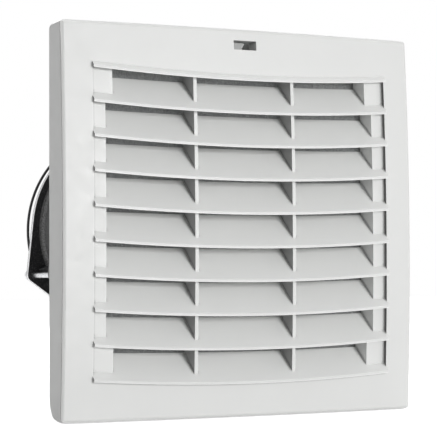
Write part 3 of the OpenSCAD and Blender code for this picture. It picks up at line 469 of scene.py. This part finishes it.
def filter_mat():
    """The mat as fibre stuff: a soft block whose faces are lumpy and whose rim is pinched."""
    low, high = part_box("filter_mat")
    inset = 0.4 * MM
    segments, layers = 120, 8
    rim_start = 0.93
    size = [(high[i] - low[i]) - 2 * inset for i in range(3)]
    mid = [(high[i] + low[i]) / 2 for i in range(3)]
    bm = bmesh.new()
    bmesh.ops.create_grid(bm, x_segments=segments, y_segments=segments, size=0.5)
    geo = bmesh.ops.extrude_face_region(bm, geom=list(bm.faces))
    for v in geo["geom"]:
        if isinstance(v, bmesh.types.BMVert):
            v.co.z += 1
    sides = [e for e in bm.edges if abs(e.verts[0].co.z - e.verts[1].co.z) > 0.5]
    bmesh.ops.subdivide_edges(bm, edges=sides, cuts=layers, use_grid_fill=True)
    bmesh.ops.recalc_face_normals(bm, faces=list(bm.faces))
    for v in bm.verts:
        x, z, y = v.co.x, v.co.y, v.co.z - 0.5
        out = max(abs(x), abs(z)) * 2
        pinch = 1 - 0.16 * max(0.0, (out - rim_start) / (1 - rim_start)) ** 2
        point = Vector((x * size[0], y * size[1], z * size[2])) / MM
        lump = (noise.noise(point * 0.045) * 0.35 + noise.noise(point * 0.25) * 0.22
                + noise.noise(point * 0.8) * 0.12)
        depth = y * size[1] * pinch * (1 - 0.06 * (0.5 + lump))
        slack = 1 - 0.006 * (0.5 + lump) * (1 if out > 0.99 else 0)
        v.co = Vector((mid[0] + x * size[0] * slack, mid[1] + depth, mid[2] + z * size[2] * slack))
    return mesh_object("filter_mat_fibre", bm, LOOKS["filter_fibre"])


mat_piece = filter_mat()
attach(mat_piece, "frame")
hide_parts("filter_mat")


def seen_rays(tree):
    """1 for what the camera, a gloss or a glass sees, and 0 for the light that falls on things."""
    path = tree.nodes.new("ShaderNodeLightPath")
    seen = path.outputs["Is Camera Ray"]
    for kind in ("Is Glossy Ray", "Is Transmission Ray"):
        either = tree.nodes.new("ShaderNodeMath")
        either.operation = "MAXIMUM"
        tree.links.new(seen, either.inputs[0])
        tree.links.new(path.outputs[kind], either.inputs[1])
        seen = either.outputs[0]
    return seen


def floor():
    """A pale floor that is seen as white and keeps the object's shadow."""
    half = 6
    gap = 0.5 * MM
    glow = 0.75
    n = Nodes("floor_look")
    base = n.mix(n.fit(n.noise(0.002, 3, 0.5), 0.3, 0.7), (0.86, 0.86, 0.86), (0.9, 0.9, 0.9))
    mat = n.finish(base, 0.7)
    light = n.new("Emission", Color=(*WHITE, 1))
    n.put(n.times(seen_rays(n.tree), glow), light.inputs["Strength"])
    both = n.new("AddShader")
    n.put(n.shader.outputs[0], both.inputs[0])
    n.put(light.outputs[0], both.inputs[1])
    n.put(both.outputs[0], n.tree.nodes["Material Output"].inputs["Surface"])
    bm = bmesh.new()
    bmesh.ops.create_grid(bm, x_segments=2, y_segments=2, size=half)
    plane = mesh_object("floor", bm, mat, False)
    plane.location = (0, 0, cad_box[0][2] - gap)


def world():
    """Soft light from all sides, seen as white."""
    scene.world = bpy.data.worlds.new("studio")
    scene.world.use_nodes = True
    tree = scene.world.node_tree
    tree.nodes.clear()
    output = tree.nodes.new("ShaderNodeOutputWorld")
    mixer = tree.nodes.new("ShaderNodeMixShader")
    tree.links.new(seen_rays(tree), mixer.inputs[0])
    for socket, strength in ((1, 0.33), (2, 1.0)):
        light = tree.nodes.new("ShaderNodeBackground")
        light.inputs["Color"].default_value = (*WHITE, 1)
        light.inputs["Strength"].default_value = strength
        tree.links.new(light.outputs[0], mixer.inputs[socket])
    tree.links.new(mixer.outputs[0], output.inputs["Surface"])


def lamp(name, place, aim, size, watts):
    data = bpy.data.lights.new(name, "AREA")
    data.shape = "RECTANGLE"
    data.size, data.size_y = size
    data.energy = watts
    obj = link(bpy.data.objects.new(name, data))
    obj.location = place
    obj.rotation_euler = (Vector(aim) - Vector(place)).to_track_quat("-Z", "Y").to_euler()


def camera():
    """The view fitted to the straight edges of the photograph."""
    photo_width = 437
    focal_pixels = 1660.2
    place = (-0.4759, -0.9839, -0.0375)
    yaw, pitch, roll = (math.radians(a) for a in (-25.451, -2.518, -0.315))
    data = bpy.data.cameras.new("camera")
    data.sensor_fit = "HORIZONTAL"
    data.sensor_width = 36
    data.lens = focal_pixels * data.sensor_width / photo_width
    data.shift_x = 0.0008
    data.shift_y = -0.0335
    data.clip_end = 50
    ahead = Vector((-math.sin(yaw) * math.cos(pitch), math.cos(yaw) * math.cos(pitch), -math.sin(pitch)))
    level = ahead.cross(Vector((0, 0, 1))).normalized()
    upright = level.cross(ahead)
    right = level * math.cos(roll) + upright * math.sin(roll)
    up = upright * math.cos(roll) - level * math.sin(roll)
    obj = link(bpy.data.objects.new("camera", data))
    obj.matrix_world = Matrix.Translation(place) @ Matrix((right, up, -ahead)).transposed().to_4x4()
    scene.camera = obj


floor()
world()
lamp("key", place=(0.5, -2.4, 0.2), aim=(0, 0, 0), size=(0.7, 0.5), watts=31)
lamp("side", place=(-1.1, 1.9, 0.4), aim=(0, 0.15, 0), size=(0.4, 0.6), watts=1)
lamp("rear", place=(0.7, 1.7, 0.9), aim=(0, 0.1, 0), size=(1.2, 1.0), watts=22)
camera()
scene.view_settings.view_transform = "Standard"
